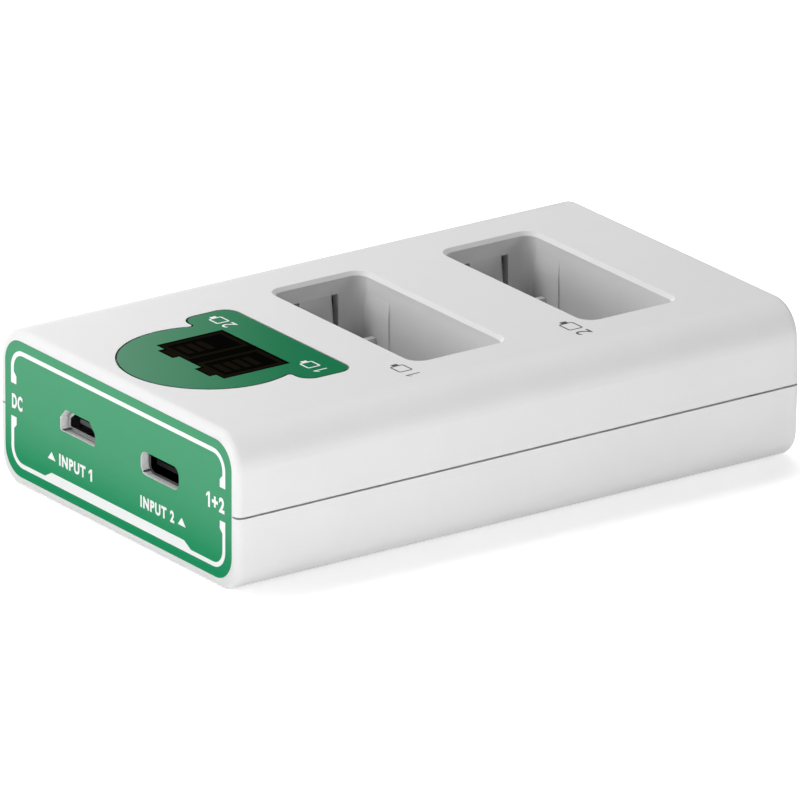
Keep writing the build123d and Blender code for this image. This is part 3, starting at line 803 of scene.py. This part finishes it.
# Reflection card
# A plain card that stands beyond the charger, light on its left and fading to dark on its right.
# Only glossy pieces reflect it, so that the bezel darkens towards its right end.

CARD_WIDTH = 0.5
CARD_HEIGHT = 0.5
CARD_DISTANCE = 0.3
CARD_LEFT = 0.022
CARD_FADE = 0.036
CARD_LIGHT = 0.55
CARD_DARK = 0.03
CARD_WAY = Vector((-0.767, 0.543, 0.342))
CARD_RIGHT = Vector((0.578, 0.816, 0.0))
CARD_START = -0.5


def gloss_card(name):
    """A unit card that is hidden from the camera and from all light but reflections."""
    bpy.ops.object.select_all(action="DESELECT")
    bpy.ops.mesh.primitive_plane_add(size=1.0)
    piece = bpy.context.object
    piece.name = name
    piece.visible_camera = False
    piece.visible_diffuse = False
    piece.visible_shadow = False
    piece.visible_transmission = False
    return piece


def black_finish(name):
    """A finish that throws back no light."""
    material = bpy.data.materials.new(name)
    material.use_nodes = True
    shader = material.node_tree.nodes["Principled BSDF"]
    shader.inputs["Base Color"].default_value = BLACK
    shader.inputs["Specular IOR Level"].default_value = 0.0
    return material


def fade_into(material, socket, axis, start, end, first, last):
    """Drives a socket of the finish by a smooth fade along one axis of its card."""
    nodes = material.node_tree.nodes
    link = material.node_tree.links.new
    place = nodes.new("ShaderNodeTexCoord")
    parts = nodes.new("ShaderNodeSeparateXYZ")
    fade = nodes.new("ShaderNodeMapRange")
    fade.interpolation_type = "SMOOTHSTEP"
    fade.inputs["From Min"].default_value = start
    fade.inputs["From Max"].default_value = end
    fade.inputs["To Min"].default_value = first
    fade.inputs["To Max"].default_value = last
    link(place.outputs["Object"], parts.inputs["Vector"])
    link(parts.outputs[axis], fade.inputs["Value"])
    link(fade.outputs["Result"], nodes["Principled BSDF"].inputs[socket])


bezel_low, bezel_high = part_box("display_bezel")
card = gloss_card("reflection_card")
card.location = (bezel_low + bezel_high) / 2 + CARD_WAY * CARD_DISTANCE
card.location += CARD_RIGHT * (CARD_WIDTH / 2 - CARD_LEFT)
card.scale = (CARD_WIDTH, CARD_HEIGHT, 1)
card.rotation_euler = (-CARD_WAY).to_track_quat("Z", "Y").to_euler()
card_grey = black_finish("card_grey")
card_grey.node_tree.nodes["Principled BSDF"].inputs["Emission Color"].default_value = WHITE
card_end = CARD_FADE / CARD_WIDTH + CARD_START
fade_into(card_grey, "Emission Strength", "X", CARD_START, card_end, CARD_LIGHT, CARD_DARK)
card.data.materials.append(card_grey)


# Floor flag: a painted contact shadow
# A dark strip on the floor before the port end, fading out forwards, that only glossy pieces reflect.
# It is painted shadow, standing for the contact shadow where the case meets the floor.

FLAG_WIDTH = 0.14
FLAG_DEPTH = 0.018
FLAG_LIFT = 0.0002
FLAG_SOLID = 0.25
flag = gloss_card("painted_contact_shadow")
flag.scale = (FLAG_WIDTH, FLAG_DEPTH, 1)
flag.location = (0, cad_box[0].y - FLAG_DEPTH / 2, FLAG_LIFT)
# Black, solid at the case and fading out forwards: painted shadow that only reflections show.
painted_shadow_black = black_finish("painted_shadow_black")
fade_into(painted_shadow_black, "Alpha", "Y", CARD_START, FLAG_SOLID, 0.0, 1.0)
flag.data.materials.append(painted_shadow_black)


# Camera
# A very long lens from the right of the port end, a little above the charger, so that parallel edges stay
# nearly parallel. Colours are shown as they are written.

CAMERA_AZIMUTH = 54.712
CAMERA_ELEVATION = 20.038
CAMERA_ROLL = 0.181
CAMERA_DISTANCE = 2.29618
CAMERA_TARGET = Vector((0.00033, -0.00031, 0.01076))
SENSOR_WIDTH = 36.0
LENS_LENGTH = 707.85
CLIP_END = 50.0
camera_data = bpy.data.cameras.new("camera")
camera_data.sensor_width = SENSOR_WIDTH
camera_data.lens = LENS_LENGTH
camera_data.clip_end = CLIP_END
camera = bpy.data.objects.new("camera", camera_data)
camera.rotation_euler = (radians(90 - CAMERA_ELEVATION), 0, radians(CAMERA_AZIMUTH))
camera.location = CAMERA_TARGET + camera.rotation_euler.to_matrix() @ Vector((0, 0, CAMERA_DISTANCE))
camera.rotation_euler.rotate_axis("Z", radians(CAMERA_ROLL))
bpy.context.scene.collection.objects.link(camera)
bpy.context.scene.camera = camera
bpy.context.scene.view_settings.view_transform = "Standard"
